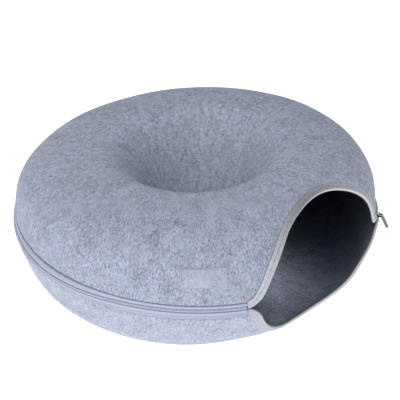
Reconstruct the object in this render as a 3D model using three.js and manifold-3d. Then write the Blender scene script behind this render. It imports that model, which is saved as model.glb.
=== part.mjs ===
// A donut cat tunnel in grey felt. A domed upper shell with a sunken middle is zipped to a round lower pan,
// and one bound mouth is cut through both.
// Millimetres, +Z up. The origin is on the zip ring's axis at the flat bottom, and the mouth faces -Y.
// Angles round the tunnel are measured from the mouth's middle line, positive towards +X.
import * as THREE from 'three';
import { mergeVertices } from 'three/addons/utils/BufferGeometryUtils.js';
import Module from 'manifold-3d';

// Felt and clearances
const FELT = 3;
const GAP = 0.3;
const FACET_ROOM = 1;

// Upper shell: outer wall and shoulder up to the crest, then the dip down to its own floor
const OUTER_RADIUS = 300;
const UPPER_EDGE = 115.2;
const CREST_RADIUS = 157;
const CREST_HEIGHT = 208;
const SHOULDER_POWER = 2.75;
const EDGE_FLARE = 1.5;
const EDGE_FLARE_RISE = 24;
const DIP_NECK_RADIUS = 73;
const DIP_WALL_BASE = 32.4;
const DIP_POWER = 1.92;
const DIP_TURN = THREE.MathUtils.degToRad(75);
const DIP_FLOOR_RADIUS = 40;
const DIP_FLOOR = 2 * FELT + GAP;
const DIP_BEND_IN = 8;
const DIP_BEND_DOWN = 38;
const DIP_BEND_OUT = 24;

// Lower pan: a wall that rounds under to a flat bottom
const PAN_RADIUS = 300;
const PAN_EDGE = 93;
const BOTTOM_RADIUS = 249;
const PAN_POWER = 1.53;
const PAN_FLARE = 5;
const PAN_FLARE_DROP = 36;

// Unevenness: the dome is fuller towards one side, and the bottom sits off the other way
const FULL_SIDE = THREE.MathUtils.degToRad(45);
const FULLNESS = 0.188;
const BOTTOM_SHIFT = 10;

// The pan's wall waves a little, and the zip band stands out at both sides
// Places and spreads are angles, levels and bands are heights
const WAVES = [
  { out: 6.5, place: 22, spread: 22, level: 32, band: 58 },
  { out: -4.5, place: -1, spread: 18, level: 30, band: 60 },
  { out: -3, place: -28, spread: 22, level: 10, band: 45 },
  { out: 1.2, place: -95, spread: 60, level: 30, band: 60 },
  { out: 7, place: 45, spread: 20, level: 103, band: 14 },
  { out: 6, place: -101, spread: 44, level: 103, band: 14 },
];
const WAVE_INNER = 170;
const WAVE_OUTER = 240;

// Mouth: an arch in the upper shell and a dipped lip in the lower, with rounded corners at the zip's ends
// Its widths and shifts are measured round the outer radius, from the middle line
const SEAM_UPPER = 106;
const SEAM_LOWER = 102;
const ARCH_HALF = 129;
const ARCH_RISE = 118.5;
const ARCH_SHIFT = 4;
const ARCH_LEAN = 17;
const ARCH_LEAN_POWER = 5;
const ARCH_BULGE = 4;
const ARCH_BULGE_PLACE = 26;
const ARCH_BULGE_REACH = 40;
const UPPER_CORNER_RIGHT = 52;
const UPPER_CORNER_LEFT = 38.5;
const LIP_HALF = 133;
const LIP_HEIGHT = 11;
const LIP_SHIFT = -5.5;
const LIP_LEAN = -24.5;
const LIP_SIDE_POWER = 1.1;
const LIP_CORNER_POWER = 2;
const MOUTH_RIGHT = ARCH_HALF + UPPER_CORNER_RIGHT + ARCH_SHIFT;
const MOUTH_LEFT = ARCH_HALF + UPPER_CORNER_LEFT - ARCH_SHIFT;
const LOWER_CORNER_RIGHT = MOUTH_RIGHT - LIP_HALF - LIP_SHIFT;
const LOWER_CORNER_LEFT = MOUTH_LEFT - LIP_HALF + LIP_SHIFT;

// Binding, zip and label
const BINDING_WIDTH = 11;
const BINDING_INNER = 4.5;
const BINDING_THICK = 1;
const TAPE_THICK = 1.2;
const UPPER_TAPE_RADIUS = 300;
const LOWER_TAPE_RADIUS = 302.5;
const CHAIN_TOP = 107.7;
const CHAIN_BOTTOM = 102.9;
const CHAIN_RADIUS = 302;
const CHAIN_THICK = 2.6;
const ZIP_END_ROOM = 1.5;
const LABEL_PLACE = THREE.MathUtils.degToRad(-42.3);
const LABEL_WIDTH = 68;
const LABEL_FOOT = 27.8;
const LABEL_TALL = 35;
const LABEL_THICK = 1;

// Slider and pull
const SLIDER_LONG = 12;
const SLIDER_TALL = 9;
const SLIDER_PLATE = 1.6;
const SLIDER_CORNER = 2;
const SLIDER_BACK_ROOM = 2.2;
const POST_LONG = 3;
const POST_TALL = 3.6;
const POST_INSET = 0.4;
const BRIDGE_LONG = 9;
const BRIDGE_OPEN = 6;
const BRIDGE_WIDE = 2.6;
const BRIDGE_STRAP = 1.4;
const BRIDGE_RISE = 3.7;
const PULL_LONG = 28.5;
const PULL_WIDE = 5.4;
const PULL_THICK = 1.4;
const PULL_WINDOW_LONG = 4.4;
const PULL_WINDOW_WIDE = 3;
const PULL_WINDOW_CORNER = 0.6;
const PULL_HEAD = 1.2;
const PULL_CORNER = 2.5;
const PULL_TILT = THREE.MathUtils.degToRad(28);

// Fineness of the grids
const COLUMNS = 54;
const CREST_ROWS = 4;
const DIP_ROWS = 11;
const PAN_ROWS = 4;
const LABEL_COLUMNS = 10;
const LABEL_ROWS = 6;
const PROFILE_STEPS = 240;
const ROW_ROOM = 1.5;
const NORMAL_REACH = 1.5;
const MERGE_ROOM = 1e-4;
const CURVE_STEPS = 3;
const CORNER_STEPS = [0, 11, 22, 36, 52, 66];
const ARCH_STEPS = [11, 16, 22, 30, 37, 45, 53, 61, 69, 76, 83, 90];
const LIP_STEPS = [2, 6.5, 14, 19, 26, 32, 38, 50, 60, 69, 77, 83, 88, 90];

const quarter = Math.PI / 2;
const radians = THREE.MathUtils.degToRad;

// A point of a quarter superellipse, as shares of its two half axes
function superQuarter(angle, power) {
  const along = Math.cos(angle) ** (2 / power);
  const up = Math.sin(angle) ** (2 / power);
  return { along, up };
}

// A share that fades from 1 to 0 with level ends
function fading(share) {
  return (1 + Math.cos(Math.PI * Math.min(share, 1))) / 2;
}

// A curve through close points, read by the distance along it
function measured(points) {
  const lengths = [0];
  for (let i = 1; i < points.length; i += 1) {
    lengths.push(lengths[i - 1] + points[i].distanceTo(points[i - 1]));
  }
  return { points, lengths, total: lengths.at(-1) };
}

// The place on a measured curve, which runs on straight before its start
function pointAt(curve, distance) {
  const { points, lengths } = curve;
  let i = lengths.findIndex((length) => length > distance);
  if (i < 0) i = lengths.length - 1;
  if (i < 1) i = 1;
  const share = (distance - lengths[i - 1]) / (lengths[i] - lengths[i - 1]);
  return points[i - 1].clone().lerp(points[i], share);
}

// The direction square to a measured curve, to its right hand side as it runs on
function normalAt(curve, distance) {
  const start = Math.min(distance - NORMAL_REACH, curve.total - 2 * NORMAL_REACH);
  const run = pointAt(curve, start + 2 * NORMAL_REACH).sub(pointAt(curve, start)).normalize();
  return new THREE.Vector2(run.y, -run.x);
}

// Upper shell's outside, from the zip over the crest to the middle of the dip
function upperProfile() {
  const points = [];
  for (let i = 0; i <= PROFILE_STEPS; i += 1) {
    const { along, up } = superQuarter((i / PROFILE_STEPS) * quarter, SHOULDER_POWER);
    const radius = CREST_RADIUS + (OUTER_RADIUS - CREST_RADIUS) * along;
    const rise = (CREST_HEIGHT - UPPER_EDGE) * up;
    const flared = radius + EDGE_FLARE * fading(rise / EDGE_FLARE_RISE);
    points.push(new THREE.Vector2(flared, UPPER_EDGE + rise));
  }
  for (let i = 1; i <= PROFILE_STEPS; i += 1) {
    const { along, up } = superQuarter((i / PROFILE_STEPS) * DIP_TURN, DIP_POWER);
    const radius = CREST_RADIUS - (CREST_RADIUS - DIP_NECK_RADIUS) * up;
    points.push(new THREE.Vector2(radius, DIP_WALL_BASE + (CREST_HEIGHT - DIP_WALL_BASE) * along));
  }
  const turn = points.at(-1);
  const floorStart = new THREE.Vector2(DIP_FLOOR_RADIUS, DIP_FLOOR);
  const wallPull = new THREE.Vector2(turn.x - DIP_BEND_IN, turn.y - DIP_BEND_DOWN);
  const floorPull = new THREE.Vector2(DIP_FLOOR_RADIUS + DIP_BEND_OUT, DIP_FLOOR);
  const bend = new THREE.CubicBezierCurve(turn, wallPull, floorPull, floorStart);
  points.push(...bend.getPoints(PROFILE_STEPS).slice(1));
  points.push(new THREE.Vector2(0, DIP_FLOOR));
  return measured(points);
}

// Lower pan's outside, from the zip down the wall to the middle of the bottom
function lowerProfile() {
  const points = [];
  for (let i = 0; i <= PROFILE_STEPS; i += 1) {
    const { along, up } = superQuarter((i / PROFILE_STEPS) * quarter, PAN_POWER);
    const radius = BOTTOM_RADIUS + (PAN_RADIUS - BOTTOM_RADIUS) * along;
    const flared = radius + PAN_FLARE * fading((PAN_EDGE * up) / PAN_FLARE_DROP);
    points.push(new THREE.Vector2(flared, PAN_EDGE * (1 - up)));
  }
  points.push(new THREE.Vector2(0, 0));
  return measured(points);
}

const UPPER = upperProfile();
const LOWER = lowerProfile();

// How far the wall stands out of round at a place. It dies out towards the middle
function waved(angle, radius, height) {
  const share = THREE.MathUtils.smoothstep(radius, WAVE_INNER, WAVE_OUTER);
  return WAVES.reduce((sum, { out, place, spread, level, band }) => {
    const turn = Math.abs(Math.atan2(Math.sin(angle - radians(place)), Math.cos(angle - radians(place))));
    return sum + out * share * fading(turn / radians(spread)) * fading(Math.abs(height - level) / band);
  }, 0);
}

// A place at an angle from the mouth's middle line
function around(angle, radius, height) {
  const reach = radius + waved(angle, radius, height);
  return new THREE.Vector3(reach * Math.sin(angle), -reach * Math.cos(angle), height);
}

const fullWay = around(FULL_SIDE, 1, 0);

// A point of the upper shell, raised off its outside (sunk if the lift is negative)
function upperPoint(angle, distance, lift) {
  const place = pointAt(UPPER, distance).addScaledVector(normalAt(UPPER, distance), lift);
  const point = around(angle, place.x, place.y);
  const above = Math.max(place.y - UPPER_EDGE, 0);
  point.z += (above * FULLNESS * point.dot(fullWay)) / OUTER_RADIUS;
  return point;
}

// A point of the lower pan, raised off its outside (sunk if the lift is negative)
function lowerPoint(angle, distance, lift) {
  const place = pointAt(LOWER, distance).addScaledVector(normalAt(LOWER, distance), -lift);
  const point = around(angle, place.x, place.y);
  const share = THREE.MathUtils.clamp(1 - place.y / PAN_EDGE, 0, 1);
  return point.addScaledVector(fullWay, -BOTTOM_SHIFT * share);
}

// How far a rounded corner stands out, at a depth past the seam
function cornerReach(depth, radius) {
  const inside = THREE.MathUtils.clamp(radius - depth, 0, radius);
  return radius - Math.sqrt(radius ** 2 - inside ** 2);
}

// Mouth's edge on the upper shell, as an angle. Side is 1 towards +X and -1 towards -X
function archEdge(side, distance) {
  const share = THREE.MathUtils.clamp(distance / ARCH_RISE, 0, 1);
  const corner = side > 0 ? UPPER_CORNER_RIGHT : UPPER_CORNER_LEFT;
  const bulge = ARCH_BULGE * fading(Math.abs(distance - ARCH_BULGE_PLACE) / ARCH_BULGE_REACH);
  const width = ARCH_HALF * Math.sqrt(1 - share ** 2) + (side < 0 ? bulge : 0);
  const half = width + cornerReach(distance + UPPER_EDGE - SEAM_UPPER, corner);
  return (ARCH_SHIFT + ARCH_LEAN * share ** ARCH_LEAN_POWER + side * half) / OUTER_RADIUS;
}

// Mouth's edge on the lower pan, as an angle
function lipEdge(side, distance) {
  const height = pointAt(LOWER, distance).y;
  const share = THREE.MathUtils.clamp((PAN_EDGE - height) / (PAN_EDGE - LIP_HEIGHT), 0, 1);
  const corner = side > 0 ? LOWER_CORNER_RIGHT : LOWER_CORNER_LEFT;
  const width = LIP_HALF * (1 - share ** LIP_SIDE_POWER) ** (1 / LIP_CORNER_POWER);
  const half = width + cornerReach(SEAM_LOWER - height, corner);
  return (LIP_SHIFT + LIP_LEAN * share + side * half) / OUTER_RADIUS;
}

// Distance down the lower pan at which a height is reached
function distanceAtHeight(height) {
  const i = LOWER.points.findIndex((point) => point.y <= height);
  const above = LOWER.points[i - 1];
  const below = LOWER.points[i];
  const share = (above.y - height) / (above.y - below.y);
  return LOWER.lengths[i - 1] + share * (LOWER.lengths[i] - LOWER.lengths[i - 1]);
}

// Distances in order, with one at the felt's own edge and none too close to it
function edgeRows(distances) {
  const clear = distances.filter((distance) => Math.abs(distance) > ROW_ROOM);
  return [0, ...clear].sort((a, b) => a - b);
}

// Rows of the mouth's edge, as distances along each shell from its zip edge
const cornerDepths = CORNER_STEPS.map((step) => UPPER_CORNER_LEFT * (1 - Math.cos(radians(step))));
const upperCorner = cornerDepths.map((depth) => depth + SEAM_UPPER - UPPER_EDGE);
const lowerCorner = cornerDepths.map((depth) => depth + PAN_EDGE - SEAM_LOWER);
const archRows = ARCH_STEPS.map((step) => ARCH_RISE * Math.sin(radians(step)));
const lipDrop = PAN_EDGE - LIP_HEIGHT;
const lipRows = LIP_STEPS.map((step) => distanceAtHeight(PAN_EDGE - lipDrop * Math.sin(radians(step))));
const upperEdgeRows = edgeRows([...upperCorner, ...archRows]);
const lowerEdgeRows = edgeRows([...lowerCorner, ...lipRows]);

// Evenly spaced distances after a start, up to and with an end
function spaced(start, end, count) {
  return Array.from({ length: count }, (_, i) => start + ((end - start) * (i + 1)) / count);
}

// Puts a triangle list the right way out
function facingOut(geometry) {
  const place = geometry.attributes.position;
  const index = geometry.index.array;
  const corner = [0, 1, 2].map(() => new THREE.Vector3());
  let volume = 0;
  for (let i = 0; i < index.length; i += 3) {
    corner.forEach((point, k) => point.fromBufferAttribute(place, index[i + k]));
    volume += corner[0].dot(corner[1].clone().cross(corner[2]));
  }
  if (volume < 0) {
    for (let i = 0; i < index.length; i += 3) [index[i], index[i + 1]] = [index[i + 1], index[i]];
  }
  return geometry;
}

// A triangle list with shared corners merged and empty triangles left out
function mergedGeometry(positions, triangles) {
  const loose = new THREE.BufferGeometry();
  loose.setAttribute('position', new THREE.Float32BufferAttribute(positions, 3));
  loose.setIndex(triangles);
  const merged = mergeVertices(loose, MERGE_ROOM);
  const kept = [];
  const index = merged.index.array;
  for (let i = 0; i < index.length; i += 3) {
    const [a, b, c] = index.slice(i, i + 3);
    if (a !== b && b !== c && c !== a) kept.push(a, b, c);
  }
  merged.setIndex(kept);
  return facingOut(merged);
}

// A closed body between two matching grids of points. From row "joined" on, the side columns meet
function sheetBody(outside, inside, joined = outside.length) {
  const rows = outside.length;
  const columns = outside[0].length;
  const positions = [outside, inside].flat(2).flatMap((point) => point.toArray());
  const triangles = [];
  const id = (face, i, j) => (face * rows + i) * columns + j;
  const quad = (a, b, c, d) => triangles.push(a, b, c, a, c, d);
  for (let i = 0; i < rows - 1; i += 1) {
    for (let j = 0; j < columns - 1; j += 1) {
      quad(id(0, i, j), id(0, i, j + 1), id(0, i + 1, j + 1), id(0, i + 1, j));
      quad(id(1, i, j), id(1, i + 1, j), id(1, i + 1, j + 1), id(1, i, j + 1));
    }
    if (i < joined) {
      quad(id(0, i, 0), id(0, i + 1, 0), id(1, i + 1, 0), id(1, i, 0));
      const last = columns - 1;
      quad(id(0, i, last), id(1, i, last), id(1, i + 1, last), id(0, i + 1, last));
    }
  }
  for (let j = 0; j < columns - 1; j += 1) {
    quad(id(0, 0, j), id(1, 0, j), id(1, 0, j + 1), id(0, 0, j + 1));
    const end = rows - 1;
    quad(id(0, end, j), id(0, end, j + 1), id(1, end, j + 1), id(1, end, j));
  }
  return mergedGeometry(positions, triangles);
}

// A felt shell with the mouth cut out of its first rows
function feltShell(point, edge, mouthRows, closedRows) {
  const rows = [...mouthRows, ...closedRows];
  const joined = mouthRows.length - 1;
  const top = mouthRows.at(-1);
  const grid = (lift) => rows.map((distance, i) => {
    const near = Math.min(distance, top);
    const start = edge(1, near);
    const end = edge(-1, near) + 2 * Math.PI;
    const line = [];
    for (let j = 0; j <= COLUMNS; j += 1) {
      line.push(point(start + ((end - start) * j) / COLUMNS, distance, lift));
    }
    if (i >= joined) line[COLUMNS] = line[0].clone();
    return line;
  });
  return sheetBody(grid(0), grid(-FELT), joined);
}

function upperShell() {
  const mouthRows = upperEdgeRows.filter((distance) => distance >= 0);
  const crest = UPPER.lengths[PROFILE_STEPS];
  const floorStart = UPPER.total - DIP_FLOOR_RADIUS;
  const closedRows = [
    ...spaced(ARCH_RISE, crest, CREST_ROWS),
    ...spaced(crest, floorStart, DIP_ROWS),
    UPPER.total,
  ];
  return feltShell(upperPoint, archEdge, mouthRows, closedRows);
}

function lowerShell() {
  const mouthRows = lowerEdgeRows.filter((distance) => distance >= 0);
  const flat = LOWER.lengths[PROFILE_STEPS];
  const roundedRows = spaced(mouthRows.at(-1), flat, PAN_ROWS);
  const closedRows = [...roundedRows, flat + BOTTOM_RADIUS / 2, LOWER.total];
  return feltShell(lowerPoint, lipEdge, mouthRows, closedRows);
}

// Folded tape round a mouth edge: an outer leg, the fold over the cut edge and an inner leg
function bindingBody(point, edge, rows) {
  const path = rows.map((distance) => ({ angle: edge(-1, distance), distance }));
  const back = rows.slice(0, -1).reverse();
  path.push(...back.map((distance) => ({ angle: edge(1, distance), distance })));
  const inner = -FELT - GAP - FACET_ROOM;
  const outerLeg = [BINDING_WIDTH, BINDING_WIDTH / 2];
  const innerLeg = [BINDING_INNER / 2, BINDING_INNER];
  const fold = -GAP - BINDING_THICK;
  const outsideLine = [
    ...outerLeg.map((width) => [width, GAP + BINDING_THICK]),
    [fold, GAP + BINDING_THICK],
    [fold, inner - BINDING_THICK],
    ...innerLeg.map((width) => [width, inner - BINDING_THICK]),
  ];
  const insideLine = [
    ...outerLeg.map((width) => [width, GAP]),
    [-GAP, GAP],
    [-GAP, inner],
    ...innerLeg.map((width) => [width, inner]),
  ];
  const radiusAt = (step) => Math.hypot(...point(step.angle, step.distance, 0).toArray().slice(0, 2));
  const flatPlace = (step) => new THREE.Vector2(step.angle * radiusAt(step), step.distance);
  const grid = (line) => path.map((step, i) => {
    const before = path[Math.max(i - 1, 0)];
    const after = path[Math.min(i + 1, path.length - 1)];
    const radius = radiusAt(step);
    const run = new THREE.Vector2((after.angle - before.angle) * radius, after.distance - before.distance);
    run.normalize();
    if (i === 0 || i === path.length - 1) run.set(1, 0);
    return line.map(([width, lift]) => {
      const place = flatPlace(step).add(new THREE.Vector2(-run.y, run.x).multiplyScalar(width));
      return point(place.x / radius, place.y, lift);
    });
  });
  return sheetBody(grid(outsideLine), grid(insideLine));
}

// An upright strip round the zip ring, from the +X side of the mouth to its -X side
// Each border has its height and how far from the mouth's middle line it starts and ends
function ringStrip(radius, thick, borders) {
  const grid = (reach) => borders.map(({ height, right, left }) => {
    const start = right / OUTER_RADIUS;
    const sweep = 2 * Math.PI - (right + left) / OUTER_RADIUS;
    const line = [];
    for (let j = 0; j <= COLUMNS; j += 1) {
      line.push(around(start + (sweep * j) / COLUMNS, radius + reach, height));
    }
    return line;
  });
  return sheetBody(grid(thick / 2), grid(-thick / 2));
}

// Zip tapes reach into the folds of the bindings at both ends
function upperTape() {
  const borders = [CHAIN_TOP + GAP, UPPER_EDGE - GAP].map((height) => {
    const right = archEdge(1, height - UPPER_EDGE) * OUTER_RADIUS + 2 * GAP;
    const left = -archEdge(-1, height - UPPER_EDGE) * OUTER_RADIUS + 2 * GAP;
    return { height, right, left };
  });
  return ringStrip(UPPER_TAPE_RADIUS, TAPE_THICK, borders);
}

function lowerTape() {
  const borders = [PAN_EDGE + GAP, CHAIN_BOTTOM - GAP].map((height) => {
    const right = lipEdge(1, PAN_EDGE - height) * OUTER_RADIUS + 2 * GAP;
    const left = -lipEdge(-1, PAN_EDGE - height) * OUTER_RADIUS + 2 * GAP;
    return { height, right, left };
  });
  return ringStrip(LOWER_TAPE_RADIUS, TAPE_THICK, borders);
}

// The closed teeth, which end at the slider's post on the +X side
function zipChain() {
  const right = MOUTH_RIGHT + ZIP_END_ROOM + POST_INSET + POST_LONG + GAP;
  const left = MOUTH_LEFT + ZIP_END_ROOM;
  const borders = [CHAIN_BOTTOM, CHAIN_TOP].map((height) => ({ height, right, left }));
  return ringStrip(CHAIN_RADIUS, CHAIN_THICK, borders);
}

// Sewn patch that follows the dome
function labelPatch() {
  const half = LABEL_WIDTH / 2 / OUTER_RADIUS;
  const grid = (lift) => Array.from({ length: LABEL_ROWS + 1 }, (_, i) => (
    Array.from({ length: LABEL_COLUMNS + 1 }, (__, j) => {
      const angle = LABEL_PLACE + half * ((2 * j) / LABEL_COLUMNS - 1);
      return upperPoint(angle, LABEL_FOOT + (LABEL_TALL * i) / LABEL_ROWS, lift);
    })
  ));
  return sheetBody(grid(GAP + LABEL_THICK), grid(GAP));
}

const wasm = await Module();
wasm.setup();

function toSolid(geometry) {
  const bare = geometry.clone();
  bare.deleteAttribute('normal');
  bare.deleteAttribute('uv');
  const merged = mergeVertices(bare, MERGE_ROOM);
  return new wasm.Manifold(new wasm.Mesh({
    numProp: 3,
    vertProperties: new Float32Array(merged.attributes.position.array),
    triVerts: new Uint32Array(merged.index.array),
  }));
}

function toGeometry(solid) {
  const mesh = solid.getMesh();
  const geometry = new THREE.BufferGeometry();
  geometry.setAttribute('position', new THREE.Float32BufferAttribute(mesh.vertProperties, 3));
  geometry.setIndex(Array.from(mesh.triVerts));
  return geometry;
}

function joined(geometries) {
  const solids = geometries.map(toSolid);
  return toGeometry(solids.slice(1).reduce((whole, solid) => whole.add(solid), solids[0]));
}

// A rectangle with round corners, middled on a place
function roundedRectangle(width, height, corner) {
  const x = width / 2;
  const y = height / 2;
  const shape = new THREE.Shape();
  shape.moveTo(corner - x, -y);
  shape.lineTo(x - corner, -y);
  shape.absarc(x - corner, corner - y, corner, -quarter, 0);
  shape.lineTo(x, y - corner);
  shape.absarc(x - corner, y - corner, corner, 0, quarter);
  shape.lineTo(corner - x, y);
  shape.absarc(corner - x, y - corner, corner, quarter, 2 * quarter);
  shape.lineTo(-x, corner - y);
  shape.absarc(corner - x, corner - y, corner, 2 * quarter, 3 * quarter);
  return shape;
}

function extruded(shape, depth) {
  return new THREE.ExtrudeGeometry(shape, { depth, bevelEnabled: false, curveSegments: CURVE_STEPS });
}

const chainMiddle = (CHAIN_TOP + CHAIN_BOTTOM) / 2;
const sliderFront = CHAIN_RADIUS + CHAIN_THICK / 2 + GAP;
const sliderBack = UPPER_TAPE_RADIUS - TAPE_THICK / 2 - GAP - SLIDER_BACK_ROOM;
const strapRadius = sliderFront + SLIDER_PLATE + BRIDGE_RISE + BRIDGE_STRAP / 2;

// Slider at the mouth's middle line: two plates, the post between them and a bridge for the pull
function sliderBody() {
  const plate = (radius) => {
    const shape = roundedRectangle(SLIDER_LONG, SLIDER_TALL, SLIDER_CORNER);
    return extruded(shape, SLIDER_PLATE).rotateX(quarter).translate(0, -radius, chainMiddle);
  };
  const postDeep = sliderFront - sliderBack + SLIDER_PLATE;
  const post = new THREE.BoxGeometry(POST_LONG, postDeep, POST_TALL);
  post.translate((POST_LONG - SLIDER_LONG) / 2 + POST_INSET, -(sliderFront + sliderBack) / 2, chainMiddle);
  const foot = sliderFront + SLIDER_PLATE / 2;
  const crown = strapRadius + BRIDGE_STRAP / 2;
  const strap = new THREE.Shape();
  strap.moveTo(-BRIDGE_LONG / 2, -foot);
  strap.lineTo(-BRIDGE_OPEN / 2, -foot);
  strap.lineTo(-BRIDGE_OPEN / 2, BRIDGE_STRAP - crown);
  strap.lineTo(BRIDGE_OPEN / 2, BRIDGE_STRAP - crown);
  strap.lineTo(BRIDGE_OPEN / 2, -foot);
  strap.lineTo(BRIDGE_LONG / 2, -foot);
  strap.lineTo(BRIDGE_LONG / 2, BRIDGE_STRAP - crown);
  strap.lineTo(BRIDGE_OPEN / 2, -crown);
  strap.lineTo(-BRIDGE_OPEN / 2, -crown);
  strap.lineTo(-BRIDGE_LONG / 2, BRIDGE_STRAP - crown);
  const bridge = extruded(strap, BRIDGE_WIDE).translate(0, 0, chainMiddle - BRIDGE_WIDE / 2);
  return joined([plate(sliderFront), plate(sliderBack - SLIDER_PLATE), post, bridge]);
}

// Pull tab hung on the bridge: its window goes round the strap, and it leans out as it hangs
function pullBody() {
  const head = PULL_WINDOW_LONG / 2 + PULL_HEAD;
  const middle = head - PULL_LONG / 2;
  const shape = roundedRectangle(PULL_WIDE, PULL_LONG, PULL_CORNER);
  const lowered = shape.getPoints(CURVE_STEPS).map((point) => point.setY(point.y + middle));
  const placed = new THREE.Shape(lowered);
  const window = roundedRectangle(PULL_WINDOW_WIDE, PULL_WINDOW_LONG, PULL_WINDOW_CORNER);
  placed.holes.push(new THREE.Path(window.getPoints(CURVE_STEPS).reverse()));
  const body = extruded(placed, PULL_THICK).translate(0, 0, -PULL_THICK / 2);
  body.rotateZ(PULL_TILT).rotateX(quarter).rotateZ(-quarter);
  return toGeometry(toSolid(body.translate(0, -strapRadius, chainMiddle)));
}

// Materials, and the parts put together
function fabric(color, roughness = 0.95) {
  return new THREE.MeshStandardMaterial({ color, roughness, metalness: 0 });
}

function metal(color) {
  return new THREE.MeshStandardMaterial({ color, roughness: 0.4, metalness: 0.8 });
}

function part(name, geometry, material) {
  const mesh = new THREE.Mesh(geometry, material);
  mesh.name = name;
  return mesh;
}

const sliderPlace = (MOUTH_RIGHT + ZIP_END_ROOM + SLIDER_LONG / 2) / OUTER_RADIUS;
const sliderTurn = SLIDER_LONG / 2 / OUTER_RADIUS;
const [chainStart, chainPlace, chainEnd] = [-1, 0, 1].map((side) => (
  around(sliderPlace + side * sliderTurn, CHAIN_RADIUS, chainMiddle).setZ(0)
));
const zipEnd = new THREE.Group();
zipEnd.rotation.z = Math.atan2(chainEnd.y - chainStart.y, chainEnd.x - chainStart.x);
zipEnd.position.copy(chainPlace).sub(new THREE.Vector3(0, -CHAIN_RADIUS, 0).applyEuler(zipEnd.rotation));
zipEnd.add(
  part('zip_slider', sliderBody(), metal('#37383c')),
  part('zip_pull', pullBody(), metal('#55544c')),
);

const tunnel = new THREE.Group();
tunnel.add(
  part('upper_shell', upperShell(), fabric('#a4abbe')),
  part('lower_shell', lowerShell(), fabric('#b3b9cc')),
  part('mouth_binding_upper', bindingBody(upperPoint, archEdge, upperEdgeRows), fabric('#b4b5b3', 0.85)),
  part('mouth_binding_lower', bindingBody(lowerPoint, lipEdge, lowerEdgeRows), fabric('#cfc9d2', 0.85)),
  part('zip_tape_upper', upperTape(), fabric('#a9afc0', 0.85)),
  part('zip_tape_lower', lowerTape(), fabric('#b1b6c8', 0.85)),
  part('zip_chain', zipChain(), fabric('#9ea4b6', 0.55)),
  part('label_patch', labelPatch(), fabric('#abb1c4')),
  zipEnd,
);

export default tunnel;
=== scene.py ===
import math

import bmesh
import bpy
import numpy as np
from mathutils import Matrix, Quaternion, Vector


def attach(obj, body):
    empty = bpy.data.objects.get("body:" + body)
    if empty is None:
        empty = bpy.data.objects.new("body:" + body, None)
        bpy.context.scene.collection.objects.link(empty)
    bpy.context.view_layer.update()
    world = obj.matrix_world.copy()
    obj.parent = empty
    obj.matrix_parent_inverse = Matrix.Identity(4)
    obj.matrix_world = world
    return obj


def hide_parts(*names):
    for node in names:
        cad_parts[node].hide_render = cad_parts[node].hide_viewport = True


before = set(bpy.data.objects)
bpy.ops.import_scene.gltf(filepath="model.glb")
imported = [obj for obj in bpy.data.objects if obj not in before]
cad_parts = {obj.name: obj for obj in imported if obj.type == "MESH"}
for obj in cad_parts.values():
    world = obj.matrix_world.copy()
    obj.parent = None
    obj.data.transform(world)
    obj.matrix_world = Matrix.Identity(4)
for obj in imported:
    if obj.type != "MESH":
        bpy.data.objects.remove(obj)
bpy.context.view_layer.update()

# Shapes are worked out in millimetres and made in metres
MM = 0.001

# Felt
FELT = 3.0
EDGE_ROUND = 1.3
PAN_EDGE_ROUND = 0.4

# Upper shell: outer wall and shoulder up to the crest, then the dip down to its own floor
OUTER_RADIUS = 300.0
UPPER_EDGE = 115.2
CREST_RADIUS = 157.0
CREST_HEIGHT = 208.0
SHOULDER_POWER = 2.75
EDGE_FLARE = 1.5
EDGE_FLARE_RISE = 24.0
DIP_NECK_RADIUS = 73.0
DIP_WALL_BASE = 32.4
DIP_POWER = 1.92
DIP_TURN = math.radians(75)
DIP_FLOOR_RADIUS = 40.0
DIP_FLOOR = 6.3
DIP_BEND_IN = 8.0
DIP_BEND_DOWN = 38.0
DIP_BEND_OUT = 24.0

# Lower pan: a wall that rounds under to a flat bottom
PAN_RADIUS = 300.0
PAN_EDGE = 93.0
BOTTOM_RADIUS = 249.0
PAN_POWER = 1.53
PAN_FLARE = 5.0
PAN_FLARE_DROP = 36.0

# Unevenness: the dome is fuller towards one side, and the bottom sits off the other way
FULL_SIDE = math.radians(45)
FULLNESS = 0.188
BOTTOM_SHIFT = 10.0

# The felt's slight swells: how high, how many all round, how far apart up the felt, and where they start
SWELLS = ((0.42, 3, 37, 0.0), (0.28, 7, -23, 1.1), (0.2, 12, 17, 2.3))
SWELL_START = 30.0
PAN_SWELL_TURN = 1.7
PAN_FLATTENS = 30.0

# The pan's wall waves a little, and the zip band stands out at both sides
# Each wave: how far out, its angle and spread in degrees, its height and band
WAVES = (
    (6.5, 22, 22, 32, 58),
    (-4.5, -1, 18, 30, 60),
    (-3, -28, 22, 10, 45),
    (1.2, -95, 60, 30, 60),
    (7, 45, 20, 103, 14),
    (6, -101, 44, 103, 14),
)
WAVE_INNER = 170.0
WAVE_OUTER = 240.0

# Mouth: an arch in the upper shell and a dipped lip in the lower, with round corners at the zip's ends
# The arch's left corner is part of a larger circle, which the seam cuts once it has reached far enough
SEAM_UPPER = 106.0
SEAM_LOWER = 102.0
ARCH_HALF = 129.0
ARCH_RISE = 118.5
ARCH_SHIFT = 4.0
ARCH_LEAN = 17.0
ARCH_LEAN_POWER = 5
ARCH_BULGE = 4.0
ARCH_BULGE_PLACE = 26.0
ARCH_BULGE_REACH = 40.0
ARCH_SHOULDER = 3.0
ARCH_SHOULDER_PLACE = 80.0
ARCH_SHOULDER_REACH = 48.0
UPPER_CORNER_RIGHT = 52.0
UPPER_CORNER_LEFT = 50.0
UPPER_REACH_LEFT = 33.0
LEFT_CORNER_CUT = UPPER_CORNER_LEFT - math.sqrt(UPPER_REACH_LEFT * (2 * UPPER_CORNER_LEFT - UPPER_REACH_LEFT))
LIP_HALF = 133.0
LIP_HEIGHT = 11.0
LIP_SHIFT = -5.5
LIP_LEAN = -24.5
LIP_SIDE_POWER = 1.1
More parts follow.
